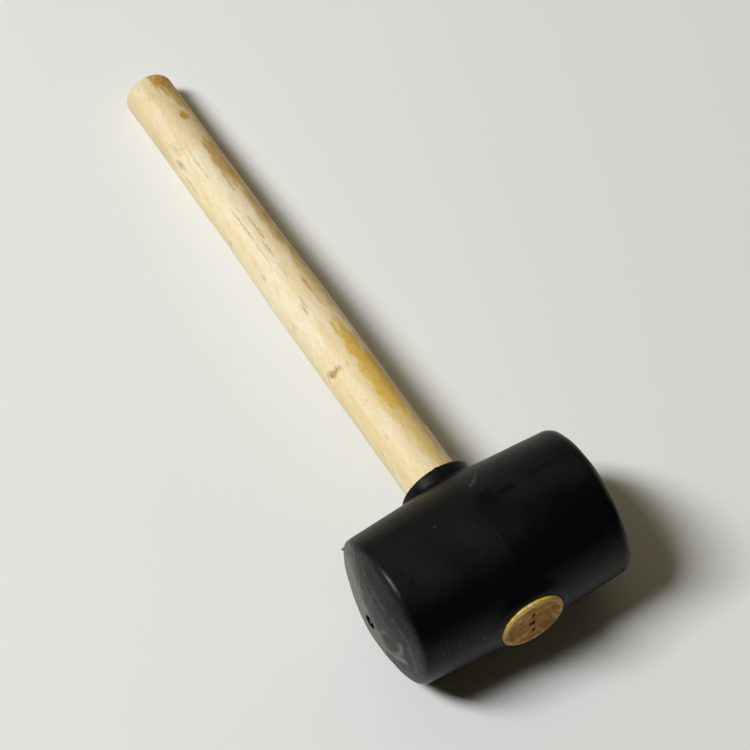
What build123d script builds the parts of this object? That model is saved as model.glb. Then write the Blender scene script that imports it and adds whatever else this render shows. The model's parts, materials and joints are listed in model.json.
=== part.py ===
"""Rubber mallet: a moulded rubber head on a turned wooden handle.

The mallet lies on the plane z = 0 as it is put down on a bench: the crest of the head and the tip of
the handle touch it. The head's axis runs along Y and the grip end points towards -X. The origin is
in the middle of the footprint. All sizes are in millimetres and all angles in degrees.
"""

from build123d import *
from math import asin, atan2, cos, degrees, hypot, radians, sin
import os

# ---- head: a barrel that tapers from a crest in the middle to two domed striking faces ----
crest_radius = 40.0        # at the middle, where the two halves of the mould meet
crest_land = 3.0           # width of the straight band at the crest
taper_drop = 3.0           # how much less the radius is where the taper meets a striking face
half_length = 54.8         # from the middle to that rim
rim_fillet = 5.0           # rounding of the rim
dome_height = 7.4          # how far the middle of a striking face stands beyond its rim

gate_radius = 2.9          # round recess that the mould's pin leaves in each striking face
gate_depth = 1.0
gate_stub_radius = 1.1     # rubber stub in the middle of that recess
gate_stub_height = 0.7

# ---- collar: a short boss of the head around the handle ----
collar_height = 2.8        # how far its flat end stands beyond the crest
collar_wall = 5.1          # rubber around the neck of the handle
collar_edge = 0.6          # rounding of its lip

# ---- handle: straight grip, slight swell, flare inside the head ----
grip_radius = 12.1
neck_radius = 13.1         # of the swell and of the neck at the collar
tenon_radius = 16.4        # at the flared end, wider than the neck, so the head can't fly off
tenon_proud = 0.2          # how far the tenon's flat end stands beyond the crest
tenon_chamfer = 0.8
handle_reach = 307.2       # from the head's axis to the tip
grip_length = 96.0         # of the straight grip, measured from the tip
swell_length = 54.0        # of the ease from the grip to the swell
tip_fillet = 5.0

spur_depth = 0.8           # dents that the lathe's drive centre leaves in the end grain
spur_radius = 0.6
spur_spacing = 7.0           # from one dent to the next, in a line across the head

# ---- fits ----
bore_clearance = 0.0       # the head is forced on to the flare, so rubber and wood touch all round
past_the_skin = 5.0        # how far a cutting tool runs beyond the surface that it leaves

# ---- what follows from these sizes, measured from the head's axis or along it ----
rim_radius = crest_radius - taper_drop
face_reach = half_length + dome_height
dome_radius = (rim_radius**2 + dome_height**2) / (2 * dome_height)
gate_floor = face_reach - gate_depth
collar_end = crest_radius + collar_height
collar_radius = neck_radius + bore_clearance + collar_wall
tenon_end = crest_radius + tenon_proud
chamfer_at = tenon_end - tenon_chamfer
swell_end = handle_reach - grip_length
swell_start = swell_end - swell_length

# ---- how the mallet lies: the crest of the head and the rounded tip both touch z = 0 ----
tip_along = handle_reach - tip_fillet
tip_across = grip_radius - tip_fillet
tip_swing = hypot(tip_along, tip_across)
pitch = degrees(asin((crest_radius - tip_fillet) / tip_swing) - atan2(tip_across, tip_along))
lean = radians(pitch)

front_x = tenon_end * cos(lean) + (tenon_radius - tenon_chamfer) * sin(lean)
back_x = tip_along * cos(lean) + tip_across * sin(lean) + tip_fillet
head_centre = Vector((back_x - front_x) / 2, 0, crest_radius)
to_tip = Vector(-cos(lean), 0, -sin(lean))

# local X runs along the handle towards its tip, local Y is the distance from its axis
handle_plane = Plane(origin=head_centre, x_dir=to_tip, z_dir=(0, -1, 0))
handle_axis = Axis(head_centre, to_tip)

# local X runs along the head, local Y is the distance from its axis
head_plane = Plane(origin=head_centre, x_dir=(0, 1, 0), z_dir=(1, 0, 0))
head_axis = Axis(head_centre, (0, 1, 0))


def across_handle(distance):
    """The plane square to the handle at a distance from the head's axis, facing the tip."""
    return Plane(origin=head_centre + to_tip * distance, x_dir=(0, 1, 0), z_dir=to_tip)


def flare_radius(distance):
    """The handle's radius inside the head, at a distance from the head's axis towards the tip."""
    slope = (tenon_radius - neck_radius) / (collar_end + tenon_end)
    return neck_radius + slope * (collar_end - distance)


# ---- wooden handle ----
with BuildPart() as wooden_handle:
    with BuildSketch(handle_plane):
        with BuildLine():
            Polyline(
                (handle_reach, 0),
                (-tenon_end, 0),
                (-tenon_end, flare_radius(-tenon_end) - tenon_chamfer),
                (-chamfer_at, flare_radius(-chamfer_at)),
                (collar_end, neck_radius),
                (swell_start, neck_radius),
            )
            Spline(
                (swell_start, neck_radius),
                (swell_end, grip_radius),
                tangents=[(1, 0), (1, 0)],
            )
            Line((swell_end, grip_radius), (tip_along, grip_radius))
            CenterArc((tip_along, tip_across), tip_fillet, 0, 90)
            Line((handle_reach, tip_across), (handle_reach, 0))
        make_face()
    revolve(axis=handle_axis)
    with BuildSketch(across_handle(-tenon_end)):
        with GridLocations(0, spur_spacing, 1, 3):
            Circle(spur_radius)
    extrude(amount=spur_depth, mode=Mode.SUBTRACT)

wooden_handle.part.label = "wooden_handle"

# ---- rubber head, moulded in one piece with its collar ----
with BuildPart() as rubber_head:
    with BuildSketch(head_plane) as barrel:
        with BuildLine():
            Line((-face_reach, 0), (face_reach, 0))
            for side in (1, -1):
                rim = (side * half_length, rim_radius)
                RadiusArc((side * face_reach, 0), rim, -side * dome_radius)
                Line(rim, (side * crest_land / 2, crest_radius))
            Line((-crest_land / 2, crest_radius), (crest_land / 2, crest_radius))
        make_face()
        corners = barrel.vertices().group_by(Axis.X)
        fillet(corners[1] + corners[-2], radius=rim_fillet)
        for side in (1, -1):
            with BuildLine():
                Polyline(
                    (side * (face_reach + past_the_skin), 0),
                    (side * (face_reach + past_the_skin), gate_radius),
                    (side * gate_floor, gate_radius),
                    (side * gate_floor, gate_stub_radius),
                    (side * (gate_floor + gate_stub_height), gate_stub_radius),
                    (side * (gate_floor + gate_stub_height), 0),
                    close=True,
                )
            make_face(mode=Mode.SUBTRACT)
    revolve(axis=head_axis)

    with BuildSketch(across_handle(0)):
        Circle(collar_radius)
    extrude(amount=collar_end)
    lip = rubber_head.faces().filter_by(GeomType.PLANE).sort_by(handle_axis)[-1]
    fillet(lip.edges(), radius=collar_edge)

    with BuildSketch(handle_plane):
        with BuildLine():
            mouth = -tenon_end - past_the_skin
            outside = collar_end + past_the_skin
            Polyline(
                (mouth, 0),
                (mouth, flare_radius(mouth) + bore_clearance),
                (collar_end, neck_radius + bore_clearance),
                (outside, neck_radius + bore_clearance),
                (outside, 0),
                close=True,
            )
        make_face()
    revolve(axis=handle_axis, mode=Mode.SUBTRACT)

rubber_head.part.label = "rubber_head"

os.makedirs("parts", exist_ok=True)
export_step(wooden_handle.part, "parts/wooden_handle.step")
export_step(rubber_head.part, "parts/rubber_head.step")

print(f"handle pitch {pitch:.3f} degrees, head centre {tuple(head_centre)}")
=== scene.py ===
"""Looks of the rubber mallet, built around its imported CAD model.

Two detailed meshes stand for the two CAD pieces: the moulded rubber head and the turned wooden handle.
Both are worked out in the mallet's own directions:
  h  along the head, towards +Y
  a  along the handle, from the head's axis towards the tip of the grip
  u  square to both, upwards
Sizes are in millimetres and angles in degrees, unless a comment says otherwise. A place on the barrel is
h and the angle theta round the head: 0 at the collar, 90 on top, 180 at the tenon. A place on the handle
is a and the angle phi round it: 0 on top, 90 towards +h.
"""

import json
import math

import bpy
import bmesh
import numpy as np
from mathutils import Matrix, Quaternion, Vector


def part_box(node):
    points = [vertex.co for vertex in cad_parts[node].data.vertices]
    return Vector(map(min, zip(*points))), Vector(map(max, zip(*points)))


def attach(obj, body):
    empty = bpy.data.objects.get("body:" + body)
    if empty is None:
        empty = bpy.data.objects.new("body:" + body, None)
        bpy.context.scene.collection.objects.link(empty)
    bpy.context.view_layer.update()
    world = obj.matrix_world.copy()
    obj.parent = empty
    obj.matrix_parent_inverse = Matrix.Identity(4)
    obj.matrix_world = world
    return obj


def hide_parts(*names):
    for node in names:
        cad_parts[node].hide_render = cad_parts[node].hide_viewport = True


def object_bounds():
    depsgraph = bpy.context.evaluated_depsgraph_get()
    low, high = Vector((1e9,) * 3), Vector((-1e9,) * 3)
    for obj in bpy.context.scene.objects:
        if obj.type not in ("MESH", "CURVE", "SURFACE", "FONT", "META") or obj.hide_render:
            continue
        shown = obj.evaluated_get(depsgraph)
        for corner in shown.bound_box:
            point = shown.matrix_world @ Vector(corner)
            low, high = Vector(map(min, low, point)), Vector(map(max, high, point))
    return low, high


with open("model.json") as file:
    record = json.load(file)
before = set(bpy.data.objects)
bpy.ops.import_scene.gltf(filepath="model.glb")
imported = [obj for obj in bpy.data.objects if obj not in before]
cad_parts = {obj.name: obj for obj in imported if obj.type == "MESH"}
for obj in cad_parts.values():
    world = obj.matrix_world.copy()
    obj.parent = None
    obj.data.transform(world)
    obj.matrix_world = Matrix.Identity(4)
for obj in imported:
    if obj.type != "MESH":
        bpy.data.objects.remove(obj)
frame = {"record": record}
cad_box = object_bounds()

MM = 0.001                     # metres in a millimetre

# ---- what the CAD model says ----
mounts = {mount["name"]: mount for mount in frame["record"]["mounts"]}
head_low, head_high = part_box("rubber_head")

crest_radius = (head_high.z - head_low.z) / 2 / MM
face_reach = (head_high.y - head_low.y) / 2 / MM
grip_radius = mounts["grip"]["dims"]["r_mm"]

TO_TIP = Vector(mounts["grip"]["axis"]).normalized()
ALONG_HEAD = Vector((0, 1, 0))
UPWARDS = ALONG_HEAD.cross(TO_TIP)
grip_middle = Vector(mounts["grip"]["pos_m"])
HEAD_CENTRE = grip_middle + TO_TIP * ((head_high.z / 2 - grip_middle.z) / TO_TIP.z)


def distance_along(mount):
    """How far a mount is from the head's axis, towards the tip."""
    return (Vector(mounts[mount]["pos_m"]) - HEAD_CENTRE).dot(TO_TIP) / MM


collar_end = distance_along("collar_face")
tenon_end = -distance_along("tenon_face")
tip_fillet = 5.0               # the grip mount ends where the tip's rounding starts
handle_reach = distance_along("grip") + mounts["grip"]["dims"]["length_mm"] / 2 + tip_fillet

# ---- sizes of the head that the frame doesn't state ----
crest_land = 3.0
half_length = 54.8
rim_radius = 37.0
rim_fillet = 5.0
dome_height = face_reach - half_length
dome_radius = (rim_radius**2 + dome_height**2) / (2 * dome_height)

gate_radius = 2.9
gate_depth = 1.0
gate_lip = 0.3
gate_stub_radius = 1.1
gate_stub_height = 0.7

collar_wall = 5.1
collar_edge = 0.6
collar_foot = 1.2              # rounding where the collar grows out of the barrel
collar_mouth = 0.25            # rounding of the collar's inner edge

bore_gap = 0.15                # shadow gap around the tenon's end
bore_lip = 0.8                 # rounding of the rubber at that end
mouth_bulge = 1.6              # how far the rubber is pressed out above and below the tenon
MOUTH_BULGE_END = 23.5         # from the handle's axis
bore_ease = 0.03               # between the rubber's inner wall and the plain flare of the wood

# ---- sizes of the handle ----
neck_radius = 13.1
tenon_radius = 16.4
tenon_chamfer = 0.8
grip_length = 96.0
swell_length = 54.0
tip_crown = 0.15               # how far the tip's end is domed

dent_radius = 1.0
dent_depth = 0.8

# ---- fineness of the meshes ----
HEAD_COLUMNS = 256
HEAD_ROW = 0.8
WINDOW_HALF = 26.0             # half the side of the barrel's openings for collar and tenon
WINDOW_COLUMNS = 29            # columns from the middle of an opening to its side
HANDLE_COLUMNS = 176
HANDLE_ROW = 0.8
WAVES = 24                     # waves that add up to one uneven surface


# ---------------------------------------------------------------- shared helpers

def in_frame(h, a, u):
    """Points of the row frame, in metres, from h, a and u in millimetres."""
    axes = np.array([ALONG_HEAD, TO_TIP, UPWARDS])
    return np.array(HEAD_CENTRE) + MM * np.stack([h, a, u], axis=-1) @ axes


def arc(centre, radius, start, end, steps):
    """Points of an arc, from the angle start to the angle end."""
    angles = np.radians(np.linspace(start, end, steps + 1))
    return [(centre[0] + radius * math.cos(t), centre[1] + radius * math.sin(t)) for t in angles]


def unevenness(points, wavelength, seed):
    """A smooth random value around 0, mostly within -1 and 1, that changes over about a wavelength."""
    random = np.random.default_rng(seed)
    waves = random.normal(size=(WAVES, 3))
    pitch = wavelength * random.uniform(0.7, 1.6, size=(WAVES, 1))
    waves *= 2 * np.pi / pitch / np.linalg.norm(waves, axis=1, keepdims=True)
    phases = random.uniform(0, 2 * np.pi, size=WAVES)
    return np.cos(points @ waves.T + phases).sum(axis=1) / math.sqrt(WAVES)


def ease(value, low, high):
    """0 below low, 1 above high, and smooth between them. With low above high it falls instead."""
    t = np.clip((value - low) / (high - low), 0, 1)
    return t * t * (3 - 2 * t)


def between(value, low, high, edge):
    """1 from low to high, falling to 0 over a soft edge on each side."""
    return ease(value, low - edge, low + edge) * ease(value, high + edge, high - edge)


def blotch(x, y, ranges, ragged):
    """An oval mark over ranges (x from, x to, y from, y to), with its outline moved by ragged."""
    x_from, x_to, y_from, y_to = ranges
    across = (2 * x - x_from - x_to) / (x_to - x_from)
    down = (2 * y - y_from - y_to) / (y_to - y_from)
    return ease(np.hypot(across, down) + 0.35 * ragged, 1.3, 0.6)


def stroke(x, y, points, width):
    """A mark along a line of points, as wide as width."""
    nearest = np.full(x.shape, np.inf)
    for (x0, y0), (x1, y1) in zip(points, points[1:]):
        run = np.hypot(x1 - x0, y1 - y0)
        share = ((x - x0) * (x1 - x0) + (y - y0) * (y1 - y0)) / run**2
        share = np.clip(share, 0, 1)
        away = np.hypot(x - x0 - share * (x1 - x0), y - y0 - share * (y1 - y0))
        nearest = np.minimum(nearest, away)
    return ease(nearest, width, width * 0.2)


def marks(x, y, listed, ragged):
    """All the listed marks (ranges and strength) together, from 0 to 1."""
    total = np.zeros(x.shape)
    for *ranges, strength in listed:
        total = np.maximum(total, strength * blotch(x, y, ranges, ragged))
    return total


class MeshParts:
    """Collects points in h, a and u, and faces, for one closed mesh."""

    def __init__(self):
        self.blocks = []
        self.faces = []
        self.count = 0

    def add_points(self, h, a, u):
        """Adds a grid or ring of points, and returns their numbers in the same shape."""
        h, a, u = np.broadcast_arrays(h, a, u)
        self.blocks.append(np.stack([h.ravel(), a.ravel(), u.ravel()], axis=1))
        numbers = self.count + np.arange(h.size).reshape(h.shape)
        self.count += h.size
        return numbers

    def add_strip(self, ring, next_ring):
        """Joins two rings with as many points by a closed strip of quads."""
        quads = [ring, np.roll(ring, -1), np.roll(next_ring, -1), next_ring]
        self.faces.append(np.stack(quads, axis=1))

    def add_fan(self, ring, middle):
        """Closes a ring with triangles to one point in its middle."""
        self.faces.append(np.stack([ring, np.roll(ring, -1), np.full(ring.shape, middle)], axis=1))

    def points(self):
        return np.concatenate(self.blocks)

    def make(self, name, moved, attributes):
        """The Blender object, from the points as moved, with float attributes on its points."""
        faces = [face for block in self.faces for face in block.tolist()]
        used = np.zeros(self.count, bool)
        for block in self.faces:
            used[block.ravel()] = True
        new_number = np.cumsum(used) - 1
        faces = [[int(new_number[i]) for i in face] for face in faces]
        mesh = bpy.data.meshes.new(name)
        mesh.from_pydata(in_frame(*moved[used].T).tolist(), [], faces)
        for key, values in attributes.items():
            layer = mesh.attributes.new(key, "FLOAT", "POINT")
            layer.data.foreach_set("value", values[used].astype(np.float32))
        face_outwards(mesh)
        mesh.shade_smooth()
        made = bpy.data.objects.new(name, mesh)
        bpy.context.scene.collection.objects.link(made)
        return made


def face_outwards(mesh):
    """Turns every face of a closed mesh outwards."""
    work = bmesh.new()
    work.from_mesh(mesh)
    bmesh.ops.recalc_face_normals(work, faces=work.faces)
    work.to_mesh(mesh)
    work.free()


# ---------------------------------------------------------------- rubber head

taper = (crest_radius - rim_radius) / (half_length - crest_land / 2)
CREST_SOFTNESS = 0.8           # how gently the band at the crest turns into the taper

# Marks on the barrel: h from, to, theta from, to, strength.
BARREL_SPECKS = [
    (17.8, 18.4, 74.6, 75.4, 1.0), (-22.3, -21.7, 78.6, 79.4, 0.4), (-27.3, -26.7, 94.6, 95.4, 0.45),
    (34.4, 35.0, 94.6, 95.4, 0.35), (24.8, 25.4, 80.8, 81.4, 0.25), (33.0, 33.5, 90.8, 91.4, 0.25),
    (-26.0, -24.0, 167.5, 171.0, 0.4), (-34.5, -34.0, 86.2, 86.8, 0.25), (44.0, 44.5, 103.2, 103.8, 0.25),
    (8.0, 8.5, 112.2, 112.8, 0.2), (-12.2, -11.7, 104.2, 104.8, 0.2),
]
BARREL_SMEARS = [
    (0.8, 9.0, 72.0, 88.0, 1.0), (8.0, 20.5, 77.5, 82.0, 0.8), (-2.0, 3.0, 80.0, 90.0, 0.5),
    (24.0, 48.0, 76.0, 80.0, 0.35),
]
AROUND = 0.7                   # length on the barrel's skin per degree of theta
# A pale squiggle behind the crest, as h and theta.
SQUIGGLE = [(3.2, 63.5), (4.4, 61.0), (5.6, 62.0), (6.3, 59.0), (7.6, 58.0), (8.4, 55.5), (9.8, 53.5)]

# Scuffs on the striking faces, as (u, a) lines with their width and strength.
FACE_SCUFFS = [
    ([(-1, -6.5), (-5, -8.5), (-8, -12), (-6.5, -18.5), (-2.5, -24)], 3.6, 1.25),
    ([(-5, -18), (1, -21.5), (5, -22.5), (9, -21.5)], 1.9, 0.9),
    ([(-3, -8), (3, -8.5), (8, -11.5)], 1.8, 0.5),
    ([(15, 26), (20, 20), (17, 12)], 1.2, 0.45),
    ([(18, 30), (23, 24), (19, 17)], 1.2, 0.4),
    ([(12, 12), (16, 6), (13, 0)], 1.2, 0.45),
    ([(27, 14), (24, 2), (21, -10)], 1.0, 0.2),
    ([(20, 8), (16, -4), (12, -14)], 1.1, 0.2),
    ([(12, -26), (4, -30), (-4, -31)], 1.4, 0.3),
    ([(22, -14), (18, -22), (12, -28)], 1.2, 0.22),
]
FACE_OVAL = [(-3.5, 7.5, -19.5, -11.5, 1.0)]
FACE_DULL = [(-15, -14), (-10, -20), (-4, -25)]    # a dull line below the oval
# Where the bright band along the face's edge begins, u at each a: partly wear from rubbing, partly a
# painted grazing sheen.
SHEEN_AND_WEAR_EDGE = ([-13, -7, 2, 11, 22, 36], [-9, 1, 9, 13, 16, 12])

FACE_WEAR = 0.9                # how much flatter the face on the -h side is towards the tip of the handle
PIP = (-55.2, 34.7, 8.0)       # h, a, u of a pip of flash on the rim
PIP_HEIGHT = 1.7
PIP_SPREAD = 0.7
NUB_HEIGHT = 0.7               # of the flash on top of the collar's lip
NUB_SPREAD = 0.9

HOOP_PITCH = 2.7               # from one hoop round the barrel to the next
HOOP_HEIGHT = 0.08             # of the hoops low on the barrel
FAINT_HOOP_HEIGHT = 0.003      # of the hoops everywhere else
FINE_HOOP_PITCH = 1.05         # of the finer hoops on top, near one rim
FINE_HOOP_HEIGHT = 0.012
SEAM_HEIGHT = 0.05             # of the mould's parting line round the crest
SEAM_WIDTH = 0.4


def barrel_radius(h):
    """The barrel's radius between its rims."""
    past_land = (np.abs(h) - crest_land / 2) / CREST_SOFTNESS
    return crest_radius - taper * CREST_SOFTNESS * np.logaddexp(0, past_land)


def rim_centre():
    """The middle of the rim's rounding, which touches the taper and the dome."""
    dome_middle = face_reach - dome_radius
    reach = dome_radius - rim_fillet
    level = crest_radius + taper * crest_land / 2 - rim_fillet * math.hypot(1, taper)
    square = 1 + taper**2
    half_linear = dome_middle + level * taper
    constant = dome_middle**2 + level**2 - reach**2
    h = (half_linear + math.sqrt(half_linear**2 - square * constant)) / square
    return h, level - taper * h


def half_outline():
    """The head's outline from the crest to the middle of a striking face, as points (h, radius)."""
    rim_h, rim_r = rim_centre()
    dome_middle = face_reach - dome_radius
    taper_end = 90 - math.degrees(math.atan(taper))
    dome_start = math.degrees(math.atan2(rim_r, rim_h - dome_middle))
    dome_end = math.degrees(math.asin((gate_radius + gate_lip) / dome_radius))
    fillet_start = rim_h + rim_fillet * math.cos(math.radians(taper_end))

    near_crest = [0.0, 0.15, 0.3, 0.5, 0.75, 1.1, 1.6, 2.2, 3.0]
    coarse = np.arange(near_crest[-1] + HEAD_ROW, 40.0, HEAD_ROW)
    fine = np.arange(40.0, 48.5, HEAD_ROW / 2)
    last = np.arange(49.0, fillet_start - 0.3, HEAD_ROW)
    outline = [(h, float(barrel_radius(h))) for h in np.concatenate([near_crest, coarse, fine, last])]

    outline += arc((rim_h, rim_r), rim_fillet, taper_end, dome_start, 12)
    dome_steps = round(math.radians(dome_start - dome_end) * dome_radius / 0.95)
    outline += arc((dome_middle, 0), dome_radius, dome_start, dome_end, dome_steps)[1:]
    return outline + gate_outline(outline[-1][0])


def gate_outline(face_h):
    """The round recess in the middle of a striking face, from its lip at face_h to the middle."""
    floor = face_reach - gate_depth
    stub_top = floor + gate_stub_height
    corner = 0.2
    lip = arc((face_h - gate_lip, gate_radius + gate_lip), gate_lip, 0, -90, 3)[1:]
    foot = arc((floor + corner, gate_radius - corner), corner, 90, 180, 2)
    stub_foot = arc((floor + corner, gate_stub_radius + corner), corner, 180, 270, 2)
    stub_edge = arc((stub_top - 2 * corner, gate_stub_radius - 2 * corner), 2 * corner, 90, 0, 3)
    return lip + foot + [(floor, 2.0)] + stub_foot + stub_edge + [(stub_top, 0.35), (stub_top, 0.0)]


def hoops(points, h):
    """The wavering hoops that the mould left round the barrel, from -1 to 1."""
    return np.sin(2 * np.pi * h / HOOP_PITCH + 1.4 * unevenness(points, 25, seed=3))


def barrel_relief(h, a, u):
    """How far the moulded rubber stands off its plain shape, by place."""
    points = np.stack([h, a, u], axis=-1)
    theta = np.degrees(np.arctan2(u, a)) % 360
    relief = 0.045 * unevenness(points, 16, seed=1) + 0.015 * unevenness(points, 5, seed=2)

    low_side = between(theta, 150, 262, 8) * between(h, -48, -14, 5)
    hoop_height = FAINT_HOOP_HEIGHT + HOOP_HEIGHT * low_side
    relief += hoop_height * hoops(points, h) * ease(np.abs(h), 55, 50)
    shine_side = between(theta, 84, 112, 8) * between(h, -48.3, -41, 1)
    relief += FINE_HOOP_HEIGHT * shine_side * np.sin(2 * np.pi * h / FINE_HOOP_PITCH)

    seam = np.exp(-((h / SEAM_WIDTH) ** 2)) * (1 + 0.4 * unevenness(points, 9, seed=4))
    relief += SEAM_HEIGHT * seam - 0.015 * ease(h, 0.1, 0.6) * ease(h, 6, 1)
    off_handle = np.hypot(h, u)
    bulge = ease(-a, 10, 20) * ease(off_handle, MOUTH_BULGE_END, tenon_radius + 1) * (u / tenon_radius) ** 2
    return relief + mouth_bulge * np.minimum(bulge, 1.1)


def face_relief(h, a, u):
    """How uneven a striking face is from its blows."""
    points = np.stack([h, a, u], axis=-1)
    worn = ease(-h, 50, 54) * ease(a, 0, 30) * ease(u, 30, 15)
    return 0.05 * unevenness(points, 9, seed=5) + 0.02 * unevenness(points, 3.5, seed=6) - FACE_WEAR * worn


def pip_relief(h, a, u):
    """The pip of flash that stands on one rim."""
    away = np.sqrt((h - PIP[0]) ** 2 + (a - PIP[1]) ** 2 + (u - PIP[2]) ** 2)
    return PIP_HEIGHT * np.exp(-((away / PIP_SPREAD) ** 2))


def head_relief(h, a, u):
    """The relief anywhere on the barrel, its rims and its faces. The gate recesses stay plain."""
    radius = np.hypot(a, u)
    on_face = ease(np.abs(h), half_length - 2, half_length + 1)
    relief = barrel_relief(h, a, u) * (1 - on_face) + face_relief(h, a, u) * on_face
    return relief * ease(radius, gate_radius + 0.2, gate_radius + 3) + pip_relief(h, a, u)


def outline_normals(outline):
    """The outward direction at each point of an outline, as (along h, along the radius)."""
    run = np.gradient(outline, axis=0)
    normal = np.stack([-run[:, 1], run[:, 0]], axis=1)
    return normal / np.linalg.norm(normal, axis=1, keepdims=True)


def on_barrel(h, u, side):
    """The distance along the handle's axis where the barrel's skin is, on the side +1 or -1."""
    a = side * np.sqrt(barrel_radius(h) ** 2 - u**2)
    radius = barrel_radius(h) + barrel_relief(h, a, u)
    return side * np.sqrt(radius**2 - u**2)


def window_loop(rows, first_row, last_row, side):
    """The numbers round an opening of the barrel's grid, the same way round on both sides."""
    middle = 0 if side > 0 else HEAD_COLUMNS // 2
    columns = (middle + side * np.arange(-WINDOW_COLUMNS, WINDOW_COLUMNS + 1)) % HEAD_COLUMNS
    start = rows[first_row, columns]
    far = rows[first_row + 1:last_row, columns[-1]]
    end = rows[last_row, columns[::-1]]
    back = rows[first_row + 1:last_row, columns[0]][::-1]
    return np.concatenate([start, far, end, back])


def add_barrel(parts):
    """The barrel with its two faces. Returns the loops round its two openings."""
    half = half_outline()
    outline = np.array([(-h, r) for h, r in reversed(half[1:])] + half)
    normals = outline_normals(outline)
    outline_h, outline_r = outline[1:-1].T
    theta = 2 * np.pi * np.arange(HEAD_COLUMNS) / HEAD_COLUMNS
    h = np.broadcast_to(outline_h[:, None], (len(outline_h), HEAD_COLUMNS))
    a = outline_r[:, None] * np.cos(theta)
    u = outline_r[:, None] * np.sin(theta)
    relief = head_relief(h.ravel(), a.ravel(), u.ravel()).reshape(h.shape)
    along = h + relief * normals[1:-1, :1]
    swell = 1 + relief * normals[1:-1, 1:] / outline_r[:, None]
    rows = parts.add_points(along, a * swell, u * swell)

    inside = np.flatnonzero(np.abs(outline_h) <= WINDOW_HALF)
    first, last = inside[0], inside[-1]
    grid = np.stack([rows[:-1], rows[1:], np.roll(rows[1:], -1, 1), np.roll(rows[:-1], -1, 1)], axis=-1)
    keep = np.ones(grid.shape[:2], bool)
    for middle in (0, HEAD_COLUMNS // 2):
        columns = (middle + np.arange(-WINDOW_COLUMNS, WINDOW_COLUMNS)) % HEAD_COLUMNS
        keep[first:last, columns] = False
    parts.faces.append(grid[keep])
    for end, row in ((0, rows[0]), (-1, rows[-1])):
        pole = parts.add_points(np.array([outline[end, 0]]), 0.0, 0.0)
        parts.add_fan(row, pole[0])
    return window_loop(rows, first, last, 1), window_loop(rows, first, last, -1)


def add_rings(parts, ring, rings):
    """Adds rings of points one after another from a ring that is there, and returns the last."""
    for h, a, u in rings:
        following = parts.add_points(h, a, u)
        parts.add_strip(ring, following)
        ring = following
    return ring


def shrinking_rings(parts, loop, radius, side):
    """Rings on the barrel's skin from the loop of an opening to a circle, and the circle's angles."""
    h, _, u = parts.points()[loop].T
    angle = np.arctan2(u, h)
    rings = []
    for share in np.linspace(0, 1, 11)[1:]:
        ring_h = h + share * (radius * np.cos(angle) - h)
        ring_u = u + share * (radius * np.sin(angle) - u)
        rings.append((ring_h, on_barrel(ring_h, ring_u, side), ring_u))
    return rings, angle


def circle(radius, a, angle):
    """A ring of points around the handle's axis."""
    return radius * np.cos(angle), a, radius * np.sin(angle)


def bore_radius(a):
    """The radius of the handle's flare inside the head."""
    return neck_radius + (tenon_radius - neck_radius) * (collar_end - a) / (collar_end + tenon_end)


def add_collar(parts, loop):
    """The collar around the neck of the handle, down to the bore's upper end."""
    wall = neck_radius + collar_wall
    rings, angle = shrinking_rings(parts, loop, wall + collar_foot, 1)
    for turn in np.radians([15, 30, 45, 60, 75, 90]):
        radius = wall + collar_foot * (1 - math.sin(turn))
        h, _, u = circle(radius, 0, angle)
        rings.append((h, on_barrel(h, u, 1) + collar_foot * (1 - math.cos(turn)), u))
    foot = rings[-1][1]
    lip_start = collar_end - collar_edge
    nub = NUB_HEIGHT * np.exp(-((wall * (angle - math.pi / 2) / NUB_SPREAD) ** 2))
    for share in (0.25, 0.5, 0.75, 1.0):
        rings.append(circle(wall + share**4 * nub * 0.35, foot + share * (lip_start - foot), angle))
    for turn in np.radians([18, 36, 54, 72, 90]):
        radius = wall - collar_edge * (1 - math.cos(turn)) + nub * math.cos(turn) * 0.6
        rings.append(circle(radius, lip_start + (collar_edge + 0.4 * nub) * math.sin(turn), angle))
    for share in (0.25, 0.5, 0.75, 1.0):
        outer, inner = wall - collar_edge, neck_radius + collar_mouth
        sag = 0.12 * math.sin(math.pi * share)
        rings.append(circle(outer + share * (inner - outer), collar_end - sag, angle))
    for turn in np.radians([45, 90]):
        radius = neck_radius + bore_ease + collar_mouth * (1 - math.sin(turn))
        rings.append(circle(radius, collar_end - collar_mouth * (1 - math.cos(turn)), angle))
    return add_rings(parts, loop, rings)


def add_mouth(parts, loop):
    """The rounded end of the bore around the tenon, down into its shadow gap."""
    opening = tenon_radius + bore_gap
    rings, angle = shrinking_rings(parts, loop, opening + bore_lip, -1)
    for turn in np.radians([15, 30, 45, 60, 75, 90]):
        h, _, u = circle(opening + bore_lip * (1 - math.sin(turn)), 0, angle)
        rings.append((h, on_barrel(h, u, -1) + bore_lip * (1 - math.cos(turn)), u))
    skin = rings[-1][1]
    rings.append(circle(bore_radius(skin + 1.5) + bore_gap, skin + 1.5, angle))
    rings.append(circle(bore_radius(skin + 3.0) + bore_ease, skin + 3.0, angle))
    return add_rings(parts, loop, rings)


def add_bore(parts, upper, lower):
    """The flared inner wall, from the collar's inner edge to the mouth's."""
    h, low_a, u = parts.points()[lower].T
    high_a = parts.points()[upper][:, 1]
    angle = np.arctan2(u, h)
    rings = []
    for share in (0.25, 0.5, 0.75):
        a = high_a + share * (low_a - high_a)
        rings.append(circle(bore_radius(a) + bore_ease, a, angle))
    parts.add_strip(add_rings(parts, upper, rings), lower)


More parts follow.
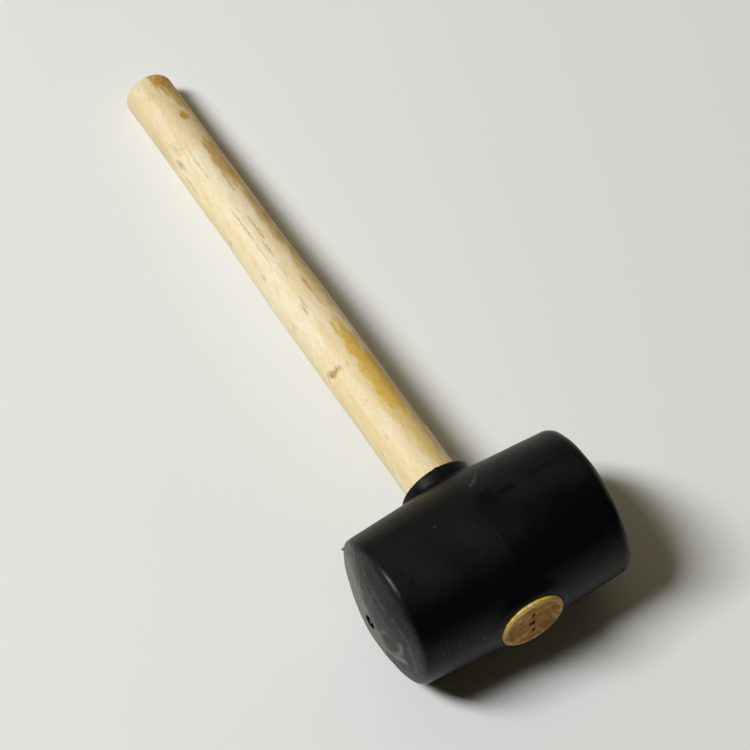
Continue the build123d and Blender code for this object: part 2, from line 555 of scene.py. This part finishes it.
def head_marks(points):
    """The head's colour marks, by the name of the attribute that holds them."""
    h, a, u = points.T
    theta = np.degrees(np.arctan2(u, a)) % 360
    radius = np.hypot(a, u)
    ragged = unevenness(points, 3.0, seed=7)
    broad = unevenness(points, 22, seed=8)
    on_face = ease(np.abs(h), half_length - 1.5, half_length + 0.5)

    lines = np.zeros(h.shape)
    for line, width, strength in FACE_SCUFFS:
        lines = np.maximum(lines, strength * stroke(u + 0.5 * ragged, a, line, width))
    # Painted grazing sheen, partly dust: the face is painted paler low down and towards the tip's side,
    # brightest in a ragged band along that edge, which is partly wear from rubbing.
    edge = np.interp(a, *SHEEN_AND_WEAR_EDGE)
    dust_and_grazing_sheen = (0.10 + 0.03 * ease(a, -18, 0)) * ease(u, 32, 10)
    rubbed_and_sheen = 0.05 + dust_and_grazing_sheen + 0.03 * broad + 0.02 * ragged + 0.8 * lines
    wear_and_grazing_sheen = ease(u + 1.2 * ragged, edge + 5, edge - 7) * ease(u + 3 * broad, -26, -10)
    rubbed_and_sheen += np.where(h < 0, 0.95, 0.25) * wear_and_grazing_sheen * ease(a, -15, -8)
    rubbed_and_sheen = rubbed_and_sheen - 0.08 * marks(u, a, FACE_OVAL, 0.5 * ragged) - 0.12 * stroke(u, a, FACE_DULL, 2.0)
    rim = between(np.abs(h), half_length - 1.0, half_length + 1.5, 1.5)

    gate_ring = ease(radius, gate_radius + 0.9, gate_radius + 0.4) * ease(radius, 0.9, 1.3)
    scuff_and_sheen = on_face * np.clip(rubbed_and_sheen, 0, 1) + 0.06 * rim * (0.6 + 0.4 * broad)
    scuff_and_sheen *= 1 - gate_ring
    scuff_and_sheen = np.maximum(scuff_and_sheen, marks(h, theta, BARREL_SPECKS, 0 * h))
    on_top = between(theta, 30, 150, 5)
    # Painted reflection: the crests of the low hoops are painted paler where they catch light bounced from
    # the floor.
    low_side = between(theta, 158, 230, 8) * between(h, -50, -14, 5)
    scuff_and_sheen = np.maximum(scuff_and_sheen, 0.10 * low_side * (0.5 + 0.5 * hoops(points, h)) * (0.5 + 0.5 * broad))
    squiggle = [(x, y * AROUND) for x, y in SQUIGGLE]
    scuff_and_sheen = np.maximum(scuff_and_sheen, 0.38 * on_top * stroke(h, theta * AROUND, squiggle, 0.5))

    # Painted sheen: the top of the barrel is painted paler where the key light's broad reflection lies,
    # more strongly on the half that faces the light.
    left_half = ease(h, 0.5, -0.1) * between(theta, 68, 122, 14)
    right_half = ease(h, -0.5, 0.5) * (0.55 + 0.15 * broad)
    fading = between(theta, 70, 118, 12) * ease(h, 34, 2)
    painted_sheen = left_half * (0.75 + 0.2 * broad) + right_half * np.maximum(between(theta, 58, 96, 10), fading)
    # The collar's outer part is painted paler as well: a painted highlight.
    collar = ease(radius, 10, 20) * ease(a, crest_radius - 1.5, crest_radius)
    painted_sheen = np.maximum(painted_sheen, collar * (0.6 + 0.3 * ragged))

    smear = marks(h, theta, BARREL_SMEARS, ragged)
    # The gate recess's floor and lip are painted near black, and left without scuffs.
    smear = np.maximum(smear, on_face * gate_ring)
    return {
        "rim": between(np.abs(h), half_length - 3.0, half_length + 0.8, 1.5) * ease(radius, 28, 32),
        "scuff_and_sheen": np.clip(scuff_and_sheen, 0, 1),
        "painted_sheen": np.clip(painted_sheen, 0, 1) * (1 - on_face) * (1 - np.clip(smear, 0, 1)),
        "smear": np.clip(smear, 0, 1),
    }


def make_head():
    """The rubber head as one closed mesh: barrel, collar, mouth and bore."""
    parts = MeshParts()
    collar_loop, mouth_loop = add_barrel(parts)
    upper = add_collar(parts, collar_loop)
    lower = add_mouth(parts, mouth_loop)
    add_bore(parts, upper, lower)
    points = parts.points()
    return parts.make("mallet_head", points, head_marks(points))


# ---------------------------------------------------------------- wooden handle

# Marks on the handle: a from, to, phi from, to, strength.
HANDLE_SMUDGES = [
    (113.2, 117.4, -66, -27, 0.95), (115.5, 118.5, -70, -52, 0.5), (113.6, 115.0, -24, -19, 0.5),
    (144.5, 151.0, -72, -58, 0.35), (146.0, 154.5, -21.5, -17.0, 0.75), (154.0, 158.5, -12, -8.5, 0.5),
    (151.0, 166.5, 16.5, 21.0, 0.7), (57.8, 60.0, -79, -75, 0.4), (71.0, 74.0, -39, -33, 0.35),
    # The mark at a 70 to 80, phi 55 to 76 darkens the wood along the raised flake's edge.
    (92.6, 93.4, -26.0, -24.0, 0.7), (70.0, 80.0, 55, 76, 0.55), (186.0, 191.5, -49, -45, 0.45),
    (181.0, 196.0, -22.5, -18.5, 0.5), (196.0, 213.5, -21.5, -17.5, 0.65), (181.0, 196.0, -7, 0, 0.5),
    (192.0, 211.5, -2, 6, 0.5), (172.0, 179.0, -9, -4, 0.3), (204.0, 208.0, -80, -70, 0.3),
    (223.0, 241.0, 10, 17, 0.5), (240.0, 249.0, 9, 16, 0.45), (238.5, 256.0, -23, -17, 0.45),
    (236.0, 247.0, -70, -61, 0.4), (249.5, 257.0, -62, -48, 0.45), (176.0, 215.0, 38, 62, 0.35),
    (244.0, 262.0, 40, 66, 0.35), (146.0, 150.0, 38, 52, 0.3),
]
HANDLE_YELLOWS = [
    (94.6, 99.0, 13, 36, 1.0), (76.0, 136.0, 4, 46, 0.95), (44.0, 130.0, 0, 60, 0.6),
    (46.0, 98.0, -75, -40, 0.35), (60.0, 72.0, -10, 10, 0.35), (82.0, 90.0, -10, 4, 0.4),
    (118.0, 142.0, -22, -6, 0.35), (84.0, 112.0, -58, -44, 0.3), (142.0, 172.0, 20, 54, 0.45),
    # The strip at phi 34 to 84 paints the shaded side of the handle yellower: painted shade.
    (160.0, 305.0, 34, 84, 0.5),
]
HANDLE_OCHRES = [
    (272.5, 280.5, 10, 42, 1.0), (288.0, 314.0, -8, 78, 1.0), (278.0, 298.0, 20, 70, 0.75),
    (224.0, 266.0, 14, 54, 0.8), (190.0, 230.0, 22, 58, 0.55), (175.5, 181.5, -54, -46, 0.55),
    (252.0, 258.0, -68, -52, 0.4), (150.0, 156.0, -16, -10, 0.3), (258.0, 266.0, -58, -8, 0.25),
    # The last two, along phi 34 to 84, paint the shaded side of the handle warmer: painted shade. The rest
    # are stains.
    (290.0, 302.0, -24, 4, 0.35), (66.0, 70.0, -76, -66, 0.25), (44.0, 140.0, 34, 84, 0.4),
    (140.0, 200.0, 40, 84, 0.35),
]

# Marks on the tenon's end: h from, to, u from, to, strength.
END_BROWNS = [
    (-8.6, -5.4, 0.0, 1.8, 1.0), (-13.2, -11.2, -5.0, 5.0, 0.8), (2.0, 12.5, -12.5, -3.0, 0.9),
    (-6.0, 4.0, -14.5, -8.5, 0.6), (9.5, 12.5, 1.5, 9.0, 0.8), (6.5, 9.5, 7.5, 11.5, 0.7),
    (-12.6, -10.2, -8.0, -3.0, 0.8), (-1.6, 2.4, 8.0, 13.0, 0.4), (-16.5, -13.5, -4.0, 0.0, 0.6),
]
FLAKE_HEIGHT = 0.4             # of a raised flake along one side near the head
DENTS = [(0.0, 7.0, 1.0), (0.0, 0.0, 1.0), (-1.7, 0.0, 0.6), (0.0, -7.0, 1.0)]    # h, u, share of the depth


def handle_outline():
    """The handle's outline from the middle of its tip to the edge of the tenon's end, as (a, radius)."""
    flat = grip_radius - tip_fillet
    crown = [(handle_reach - tip_crown * (r / flat) ** 2, r) for r in (0.0, 1.0, 2.5, 4.0, 5.5)]
    round_end = arc((handle_reach - tip_fillet - tip_crown, flat), tip_fillet, 90, 0, 12)[::-1]
    swell_end = handle_reach - grip_length
    swell_start = swell_end - swell_length

    shown = np.arange(handle_reach - tip_fillet - tip_crown - HANDLE_ROW, collar_end + 0.4, -HANDLE_ROW)
    swell = ease(shown, swell_end, swell_start)
    body = [(a, grip_radius + (neck_radius - grip_radius) * s) for a, s in zip(shown, swell)]
    hidden = [(a, bore_radius(a)) for a in np.linspace(collar_end, -tenon_end + 6, 20)]
    last = -tenon_end + tenon_chamfer
    proud = [(a, bore_radius(a)) for a in np.arange(-tenon_end + 5.6, last, -0.4)]
    chamfer = [(a, bore_radius(a) - (last - a)) for a in np.linspace(last, -tenon_end + 0.1, 4)]
    return crown + round_end + body + hidden + proud + chamfer


def handle_relief(h, a, u):
    """How uneven the turned and sanded wood is."""
    points = np.stack([h, a, u], axis=-1)
    long_grain = points * np.array([1, 0.05, 1])
    relief = 0.05 * unevenness(points * np.array([0.3, 1, 0.3]), 45, seed=11)
    relief += 0.018 * unevenness(long_grain, 3.0, seed=12)
    phi = np.degrees(np.arctan2(h, u))
    relief += FLAKE_HEIGHT * ease(a, 78.5, 70) * between(phi, 62, 112, 12)
    return relief * ease(a, collar_end - 2, collar_end + 4)


def end_relief(h, u):
    """The dents and the saw's marks in the tenon's end, as a depth."""
    depth = np.zeros(h.shape)
    for dent_h, dent_u, share in DENTS:
        away = np.hypot(h - dent_h, (u - dent_u) * 0.6)
        depth = np.maximum(depth, share * dent_depth * ease(away, dent_radius * 1.25, dent_radius * 0.35))
    points = np.stack([h, 0 * h, u], axis=-1)
    saw = 0.03 * np.sin(2 * np.pi * (h * 0.5 + u * 0.86) / 1.9 + 1.5 * unevenness(points, 12, seed=13))
    return depth + saw + 0.09 * unevenness(points, 3, seed=14)


def add_end(parts, rim):
    """The flat end of the tenon, as rings around its middle."""
    angle = 2 * np.pi * np.arange(HANDLE_COLUMNS) / HANDLE_COLUMNS
    edge = tenon_radius - tenon_chamfer
    steps = [
        np.arange(edge - 0.3, 8.3, -0.5), np.arange(8.2, 5.7, -0.17),
        np.arange(5.4, 2.7, -0.45), np.arange(2.5, 0.1, -0.17),
    ]
    rings = []
    for radius in np.concatenate(steps):
        h, u = radius * np.sin(angle), radius * np.cos(angle)
        rings.append((h, -tenon_end + end_relief(h, u), u))
    last = add_rings(parts, rim, rings)
    middle = parts.add_points(0.0, np.array([-tenon_end + dent_depth]), 0.0)
    parts.add_fan(last, middle[0])


def handle_marks(points):
    """The handle's colour marks, by the name of the attribute that holds them."""
    h, a, u = points.T
    phi = np.degrees(np.arctan2(h, u))
    radius = np.hypot(h, u)
    ragged = unevenness(points * np.array([1, 0.45, 1]), 2.6, seed=15)
    broad = unevenness(points * np.array([1, 0.2, 1]), 14, seed=16)
    end_edge = tenon_radius - tenon_chamfer
    on_end = (a < -tenon_end + 1.5) * ease(radius, end_edge + 0.3, end_edge)
    on_side = (a > collar_end - 3) * 1.0

    smudge = on_side * marks(a, phi, HANDLE_SMUDGES, ragged)
    smudge = np.maximum(smudge, on_end * marks(h, u, END_BROWNS, ragged))
    soft = 0.5 * ragged + 0.7 * broad
    yellow = on_side * marks(a, phi, HANDLE_YELLOWS, soft)
    # Near the head the wood is tinted yellow, but not on the lit -h side, which is left paler: painted
    # light.
    yellow = np.maximum(yellow, on_side * (0.22 + 0.08 * broad) * ease(a, 150, 105) * ease(phi, -100, -50))
    proud = ease(a, -tenon_end + 8, -tenon_end + 6) * (1 - on_end)
    pale_ring = 0.75 * on_end * ease(radius + 0.5 * ragged, 13.2, 15.0)
    yellow = np.maximum(yellow, proud * (0.8 + 0.2 * broad) + pale_ring)
    off_the_tip = np.maximum(ease(a, handle_reach, handle_reach - tip_fillet), ease(radius, 3, 11))
    ochre = on_side * off_the_tip * marks(a, phi, HANDLE_OCHRES, soft)
    tanned = ease(a + 0.1 * phi + 4 * broad + 2 * ragged, 250, 262)
    ochre = np.maximum(ochre, (0.20 + 0.05 * broad) * tanned)
    edge_line = ease(a, -tenon_end + 1.1, -tenon_end + 0.6)
    ochre = np.maximum(ochre, proud * np.clip(0.35 + 0.3 * ragged + 0.6 * edge_line, 0, 1))
    # Painted shade: the parts of the end that lie deeper than about 0.3 mm, in the dents, are painted near
    # black.
    dents = on_end * ease(a, -tenon_end + 0.2, -tenon_end + 0.4)
    return {
        "smudge": np.clip(smudge, 0, 1),
        "yellow": np.clip(yellow, 0, 1),
        "ochre": np.clip(ochre, 0, 1),
        "end_grain": np.clip(on_end, 0, 1),
        "dent": np.clip(dents, 0, 1),
    }


def make_handle():
    """The wooden handle as one closed mesh, from its tip to the tenon's end."""
    parts = MeshParts()
    outline = np.array(handle_outline())
    along, radius = outline[1:].T
    phi = 2 * np.pi * np.arange(HANDLE_COLUMNS) / HANDLE_COLUMNS
    h = radius[:, None] * np.sin(phi)
    u = radius[:, None] * np.cos(phi)
    a = np.broadcast_to(along[:, None], h.shape)
    swell = 1 + handle_relief(h.ravel(), a.ravel(), u.ravel()).reshape(h.shape) / radius[:, None]
    rows = parts.add_points(h * swell, a, u * swell)
    for row, next_row in zip(rows, rows[1:]):
        parts.add_strip(row, next_row)
    tip = parts.add_points(0.0, np.array([outline[0, 0]]), 0.0)
    parts.add_fan(rows[0], tip[0])
    add_end(parts, rows[-1])
    points = parts.points()
    return parts.make("mallet_handle", points, handle_marks(points))


# ---------------------------------------------------------------- materials

class Shading:
    """A material with short calls that add nodes to it."""

    def __init__(self, name):
        self.material = bpy.data.materials.new(name)
        self.material.use_nodes = True
        self.nodes = self.material.node_tree.nodes
        self.links = self.material.node_tree.links
        self.shader = self.nodes["Principled BSDF"]

    def put(self, socket, value):
        """Sets a socket to a value, or links it to another node's output."""
        if isinstance(value, bpy.types.NodeSocket):
            self.links.new(value, socket)
        else:
            socket.default_value = value

    def attribute(self, name):
        node = self.nodes.new("ShaderNodeAttribute")
        node.attribute_name = name
        return node.outputs["Fac"]

    def place(self, scale=(1, 1, 1)):
        """The place on the mallet in millimetres, as (h, a, u), each times its scale."""
        coordinates = self.nodes.new("ShaderNodeTexCoord")
        moved = self.nodes.new("ShaderNodeMapping")
        moved.vector_type = "TEXTURE"
        pitch = math.atan2(-TO_TIP.z, -TO_TIP.x)
        self.put(moved.inputs["Vector"], coordinates.outputs["Object"])
        self.put(moved.inputs["Location"], HEAD_CENTRE)
        self.put(moved.inputs["Rotation"], (0, -pitch, math.pi))
        self.put(moved.inputs["Scale"], (MM / scale[1], MM / scale[0], MM / scale[2]))
        return moved.outputs["Vector"]

    def noise(self, vector, scale, detail=3.0, roughness=0.5, distortion=0.0):
        node = self.nodes.new("ShaderNodeTexNoise")
        self.put(node.inputs["Vector"], vector)
        self.put(node.inputs["Scale"], scale)
        self.put(node.inputs["Detail"], detail)
        self.put(node.inputs["Roughness"], roughness)
        self.put(node.inputs["Distortion"], distortion)
        return node.outputs["Fac"]

    def remap(self, value, low, high, new_low=0.0, new_high=1.0):
        node = self.nodes.new("ShaderNodeMapRange")
        node.interpolation_type = "SMOOTHSTEP"
        limits = {"From Min": low, "From Max": high, "To Min": new_low, "To Max": new_high}
        for name, number in limits.items():
            self.put(node.inputs[name], number)
        self.put(node.inputs["Value"], value)
        return node.outputs["Result"]

    def maths(self, operation, first, second):
        node = self.nodes.new("ShaderNodeMath")
        node.operation = operation
        self.put(node.inputs[0], first)
        self.put(node.inputs[1], second)
        return node.outputs["Value"]

    def times(self, first, second):
        return self.maths("MULTIPLY", first, second)

    def plus(self, first, second):
        return self.maths("ADD", first, second)

    def blend(self, share, first, second):
        """A colour between two colours."""
        node = self.nodes.new("ShaderNodeMix")
        node.data_type = "RGBA"
        self.put(node.inputs["Factor"], share)
        self.put(node.inputs[6], first)
        self.put(node.inputs[7], second)
        return node.outputs[2]

    def bump(self, height, distance, normal=None):
        node = self.nodes.new("ShaderNodeBump")
        self.put(node.inputs["Distance"], distance)
        self.put(node.inputs["Height"], height)
        if normal is not None:
            self.put(node.inputs["Normal"], normal)
        return node.outputs["Normal"]


def colour(red, green, blue):
    """A colour given as display values from 0 to 255, made linear."""
    shares = [value / 255 for value in (red, green, blue)]
    linear = [s / 12.92 if s <= 0.04045 else ((s + 0.055) / 1.055) ** 2.4 for s in shares]
    return (*linear, 1.0)


def rubber_material():
    """Black moulded rubber: dull, mottled, with a pale sheen painted along the top and on the collar, and
    grey scuffs that on the faces and low hoops also hold painted sheen.
    """
    made = Shading("black_rubber")
    place = made.place()
    fine = made.noise(place, 1.6, detail=4)
    mottle = made.noise(place, 0.12, detail=5, roughness=0.6)
    streaks = made.noise(made.place((1.6, 0.12, 0.12)), 0.9, detail=4, roughness=0.6)

    base = made.blend(mottle, colour(3, 5, 6), colour(6, 8, 9))
    # The painted sheen: paler along the top of the barrel and on the collar.
    painted_sheen = made.times(made.attribute("painted_sheen"), made.remap(streaks, 0.2, 0.85, 0.35, 1.0))
    base = made.blend(painted_sheen, base, colour(25, 30, 29))
    scuff_break = made.remap(made.noise(place, 0.9, detail=5, roughness=0.65), 0.36, 0.62)
    # The grey scuffs also hold the painted grazing sheen of the faces and the painted reflection on the low
    # hoops.
    scuff_and_sheen = made.times(made.attribute("scuff_and_sheen"), made.plus(made.times(scuff_break, 0.4), 0.6))
    base = made.blend(scuff_and_sheen, base, colour(128, 129, 123))
    base = made.blend(made.attribute("smear"), base, colour(1, 1, 1))
    made.put(made.shader.inputs["Base Color"], base)

    rough = made.plus(made.remap(mottle, 0.3, 0.7, 0.37, 0.43), made.times(scuff_and_sheen, 0.3))
    rough = made.plus(rough, made.times(made.attribute("smear"), 0.25))
    rough = made.plus(rough, made.times(made.attribute("rim"), -0.10))
    made.put(made.shader.inputs["Roughness"], rough)
    made.put(made.shader.inputs["Specular IOR Level"], 0.12)
    height = made.plus(made.times(fine, 0.35), made.noise(place, 0.45, detail=3))
    made.put(made.shader.inputs["Normal"], made.bump(height, 0.00008))
    return made.material


def wood_material():
    """Pale hardwood with a dull finish: streaks along the grain, stains, a warmer painted shade along the
    shaded side, bare end grain.
    """
    made = Shading("pale_wood")
    place = made.place()
    along_grain = made.place((1, 0.02, 1))
    streaks = made.noise(along_grain, 0.55, detail=5, roughness=0.6, distortion=0.3)
    fibres = made.noise(made.place((1, 0.012, 1)), 3.0, detail=4, roughness=0.65)
    clouds = made.noise(made.place((1, 0.12, 1)), 0.09, detail=4)
    broken = made.remap(made.noise(made.place((1, 0.25, 1)), 1.1, detail=5, roughness=0.65), 0.36, 0.6)

    base = made.blend(made.remap(clouds, 0.35, 0.65), colour(237, 227, 200), colour(232, 217, 176))
    base = made.blend(made.times(made.remap(streaks, 0.5, 0.72), 0.38), base, colour(222, 198, 142))
    base = made.blend(made.times(made.remap(fibres, 0.5, 0.75), 0.3), base, colour(205, 178, 125))
    mottle = made.remap(made.noise(made.place((1, 0.35, 1)), 0.4, detail=5, roughness=0.65), 0.42, 0.62)
    base = made.blend(made.times(mottle, 0.35), base, colour(226, 200, 130))
    threads = made.remap(made.noise(made.place((1, 0.022, 1)), 1.7, detail=3, roughness=0.6), 0.56, 0.66)
    threads = made.times(threads, made.plus(made.times(made.attribute("ochre"), 0.7), 0.12))
    base = made.blend(threads, base, colour(160, 122, 50))
    patchy = made.plus(made.times(broken, 0.35), 0.65)
    frayed = made.remap(made.noise(made.place((1, 0.07, 1)), 2.0, detail=4, roughness=0.65), 0.38, 0.58)
    frayed = made.plus(made.times(frayed, 0.75), 0.25)
    # The yellow and ochre tints hold stains and also the painted shade of the handle's shaded side.
    base = made.blend(made.times(made.attribute("yellow"), patchy), base, colour(216, 174, 44))
    base = made.blend(made.times(made.attribute("ochre"), patchy), base, colour(178, 134, 20))
    base = made.blend(made.times(made.attribute("smudge"), frayed), base, colour(154, 120, 48))
    base = made.blend(made.attribute("end_grain"), base, end_grain_colour(made, place))
    made.put(made.shader.inputs["Base Color"], base)

    bare = made.attribute("end_grain")
    rough = made.plus(made.remap(streaks, 0.3, 0.7, 0.50, 0.60), made.times(bare, 0.2))
    made.put(made.shader.inputs["Roughness"], rough)
    made.put(made.shader.inputs["Specular IOR Level"], 0.35)
    fibre_bump = made.bump(made.plus(fibres, made.times(streaks, 0.8)), 0.00005)
    grain_bump = made.times(made.noise(place, 1.8, detail=4), bare)
    made.put(made.shader.inputs["Normal"], made.bump(grain_bump, 0.0003, fibre_bump))
    return made.material


def end_grain_colour(made, place):
    """Sawn end grain: brown, with fine growth rings, pores, and painted shade in its dents."""
    rings = made.nodes.new("ShaderNodeTexWave")
    rings.wave_type = "RINGS"
    rings.rings_direction = "Y"
    made.put(rings.inputs["Vector"], made.place((0.8, 0.8, 0.8)))
    made.put(rings.inputs["Scale"], 0.22)
    made.put(rings.inputs["Distortion"], 3.0)
    made.put(rings.inputs["Detail"], 3.0)
    made.put(rings.inputs["Detail Scale"], 0.6)
    pores = made.remap(made.noise(place, 2.4, detail=3), 0.55, 0.7)
    patches = made.remap(made.noise(place, 0.32, detail=5, roughness=0.7), 0.38, 0.62)
    tone = made.blend(rings.outputs["Fac"], colour(224, 187, 106), colour(190, 138, 44))
    tone = made.blend(made.times(patches, 0.75), tone, colour(158, 104, 20))
    tone = made.blend(made.attribute("yellow"), tone, colour(222, 188, 124))
    tone = made.blend(made.times(pores, 0.35), tone, colour(108, 68, 10))
    tone = made.blend(made.attribute("smudge"), tone, colour(150, 92, 0))
    # The painted shade in the dents.
    return made.blend(made.attribute("dent"), tone, colour(14, 8, 2))


def floor_material():
    """A plain pale floor with the faintest clouding."""
    made = Shading("pale_floor")
    coordinates = made.nodes.new("ShaderNodeTexCoord")
    clouds = made.noise(coordinates.outputs["Object"], 3.0, detail=3)
    base = made.blend(clouds, (0.785, 0.80, 0.79, 1), (0.79, 0.805, 0.795, 1))
    made.put(made.shader.inputs["Base Color"], base)
    made.put(made.shader.inputs["Roughness"], 0.6)
    made.put(made.shader.inputs["Specular IOR Level"], 0.2)
    return made.material


# ---------------------------------------------------------------- stage, light and camera

FLOOR_HALF = 9.0               # metres

CAMERA_AZIMUTH = 54.881
CAMERA_ELEVATION = 63.798
CAMERA_ROLL = 3.514
CAMERA_DISTANCE = 1.964        # metres, from the point that it aims at
CAMERA_LENS = 203.0
AIM_SHARES = (0.5815, 0.5446, 0.5)    # of the CAD box, from its lowest corner

KEY_AZIMUTH = -23.7            # of the softbox, as for the camera
KEY_ELEVATION = 56.1
KEY_ROLL = -25.2
KEY_DISTANCE = 3.25            # metres
KEY_SIZE = (0.60, 1.45)        # metres
KEY_POWER = 104.0              # watts

# A low warm light from beyond the far striking face, on the shaded side of the handle.
FILL_AZIMUTH = 180.0
FILL_ELEVATION = 9.0
FILL_DISTANCE = 3.0            # metres
FILL_SIZE = (1.6, 0.5)         # metres
FILL_POWER = 6.5               # watts
FILL_COLOUR = (1.0, 0.80, 0.45)

ROOM_COLOUR = (1.0, 0.88, 0.60, 1)
BRIGHT_SIDE = Vector((-1, 0.25, 0.45)).normalized()    # where the room is palest
ROOM_DARKEST = 0.02
ROOM_BRIGHTEST = 0.33
BRIGHT_SIDE_START = 0.35       # cosine of the angle from the palest side where the room starts to brighten


def away_towards(azimuth, elevation):
    """The direction from the mallet to something, where azimuth 0 is towards -Y and 90 towards +X."""
    turn, rise = math.radians(azimuth), math.radians(elevation)
    return Vector((math.sin(turn) * math.cos(rise), -math.cos(turn) * math.cos(rise), math.sin(rise)))


def facing(direction, roll=0.0):
    """The turn of a camera or light that looks back along a direction."""
    return (-direction).to_track_quat("-Z", "Y") @ Quaternion((0, 0, 1), math.radians(roll))


def place_thing(thing, location, turn):
    """Puts a camera or light into the scene at a location, in metres, with its turn."""
    thing.rotation_mode = "QUATERNION"
    thing.location = location
    thing.rotation_quaternion = turn
    bpy.context.scene.collection.objects.link(thing)


def add_camera():
    """The camera, aimed at a point inside the CAD box."""
    sides = zip(*cad_box, AIM_SHARES)
    aim = Vector(low + share * (high - low) for low, high, share in sides)
    towards = away_towards(CAMERA_AZIMUTH, CAMERA_ELEVATION)
    camera = bpy.data.objects.new("camera", bpy.data.cameras.new("camera"))
    camera.data.lens = CAMERA_LENS
    camera.data.sensor_width = 36.0
    camera.data.clip_end = 100.0
    place_thing(camera, aim + CAMERA_DISTANCE * towards, facing(towards, CAMERA_ROLL))
    bpy.context.scene.camera = camera


def add_softbox(name, azimuth, elevation, roll, distance, size, power):
    """A rectangular light that faces the mallet."""
    towards = away_towards(azimuth, elevation)
    light = bpy.data.lights.new(name, "AREA")
    light.shape = "RECTANGLE"
    light.size, light.size_y = size
    light.energy = power
    place_thing(bpy.data.objects.new(name, light), distance * towards, facing(towards, roll))
    return light


def add_lights():
    add_softbox("key", KEY_AZIMUTH, KEY_ELEVATION, KEY_ROLL, KEY_DISTANCE, KEY_SIZE, KEY_POWER)
    fill = add_softbox("fill", FILL_AZIMUTH, FILL_ELEVATION, 0.0, FILL_DISTANCE, FILL_SIZE, FILL_POWER)
    fill.color = FILL_COLOUR


def add_surroundings():
    """A dim warm room, palest beyond the tip of the handle."""
    world = bpy.data.worlds.new("room")
    world.use_nodes = True
    nodes, links = world.node_tree.nodes, world.node_tree.links
    coordinates = nodes.new("ShaderNodeTexCoord")
    share = nodes.new("ShaderNodeVectorMath")
    share.operation = "DOT_PRODUCT"
    share.inputs[1].default_value = BRIGHT_SIDE
    ramp = nodes.new("ShaderNodeMapRange")
    ramp.interpolation_type = "SMOOTHSTEP"
    ramp.inputs["From Min"].default_value = BRIGHT_SIDE_START
    ramp.inputs["To Min"].default_value = ROOM_DARKEST
    ramp.inputs["To Max"].default_value = ROOM_BRIGHTEST
    links.new(coordinates.outputs["Generated"], share.inputs[0])
    links.new(share.outputs["Value"], ramp.inputs["Value"])
    links.new(ramp.outputs["Result"], nodes["Background"].inputs["Strength"])
    nodes["Background"].inputs["Color"].default_value = ROOM_COLOUR
    bpy.context.scene.world = world


def add_floor():
    """The plain floor that the mallet lies on."""
    mesh = bpy.data.meshes.new("floor")
    corners = [(x * FLOOR_HALF, y * FLOOR_HALF, 0) for x, y in ((-1, -1), (1, -1), (1, 1), (-1, 1))]
    mesh.from_pydata(corners, [], [(0, 1, 2, 3)])
    floor = bpy.data.objects.new("floor", mesh)
    bpy.context.scene.collection.objects.link(floor)
    floor.data.materials.append(floor_material())


# ---------------------------------------------------------------- the mallet

bpy.context.scene.view_settings.view_transform = "Standard"
add_camera()
add_floor()
add_lights()
add_surroundings()

head = make_head()
head.data.materials.append(rubber_material())
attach(head, "root")
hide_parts("rubber_head")

handle = make_handle()
handle.data.materials.append(wood_material())
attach(handle, "root")
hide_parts("wooden_handle")
